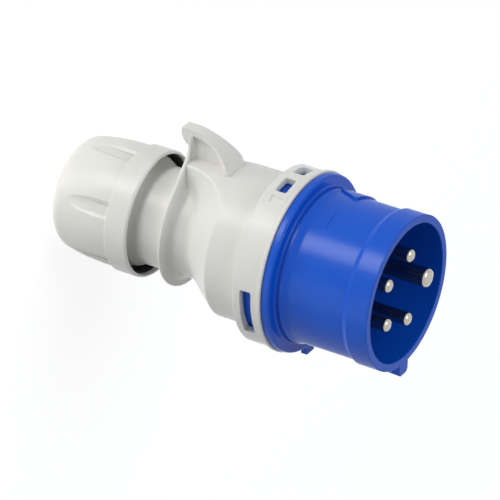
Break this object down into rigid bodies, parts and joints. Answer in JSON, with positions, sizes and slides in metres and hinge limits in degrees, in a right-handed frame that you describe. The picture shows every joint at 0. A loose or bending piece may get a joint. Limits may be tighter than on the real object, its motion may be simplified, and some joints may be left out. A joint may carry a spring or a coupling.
{
  "type": "industrial pin and sleeve plug",
  "caption": "Blue round-shroud industrial power plug with a circle of pins, a grey hand grip with a thumb fin, and a screwed cable nut.",
  "frame": {"origin": "centre of the cable entry in the flat end face of the cable nut", "axes": "+Z runs along the plug to the open mouth of the shroud; +X points to the thumb fin; the key is on -X and the earth pin on -Y"},
  "size_m": [0.0748, 0.0662, 0.136],
  "materials": {
    "grey_plastic": "satin moulded light grey",
    "blue_plastic": "satin moulded blue",
    "black_rubber": "soft black rubber",
    "white_nylon": "plain moulded nylon",
    "nickel_plate": "bright nickel-plated brass",
    "zinc_steel": "zinc-plated steel"
  },
  "bodies": {
    "grip": {"housing": "grey_plastic", "clamp_cage": "white_nylon", "cable_seal": "black_rubber"},
    "washer": {"thrust_washer": "white_nylon"},
    "nut": {"cap_nut": "grey_plastic"},
    "insert": {"plug_insert": "blue_plastic", "insert_gasket": "black_rubber", "terminal_cover": "white_nylon", "pin_line_1": "nickel_plate", "pin_line_2": "nickel_plate", "pin_line_3": "nickel_plate", "pin_neutral": "nickel_plate", "pin_earth": "nickel_plate", "screw_line_1": "zinc_steel", "screw_line_2": "zinc_steel", "screw_line_3": "zinc_steel", "screw_neutral": "zinc_steel", "screw_earth": "zinc_steel", "cover_screw_1": "zinc_steel", "cover_screw_2": "zinc_steel", "cover_screw_3": "zinc_steel"}
  },
  "joints": [
    {"name": "nut_travel", "type": "slide", "parent": "grip", "child": "washer", "axis": [0, 0, -1], "range_m": [0, 0.006]},
    {"name": "nut_turn", "type": "hinge", "parent": "washer", "child": "nut", "pos_m": [0, 0, 0.015], "axis": [0, 0, -1], "range_deg": [0, 720]},
    {"name": "insert_turn", "type": "hinge", "parent": "grip", "child": "insert", "pos_m": [0, 0, 0.0865], "axis": [0, 0, 1], "range_deg": [0, 25]}
  ],
  "couplings": [
    {"joint": "nut_travel", "follows": "nut_turn", "m_per_rad": 0.000477}
  ]
}
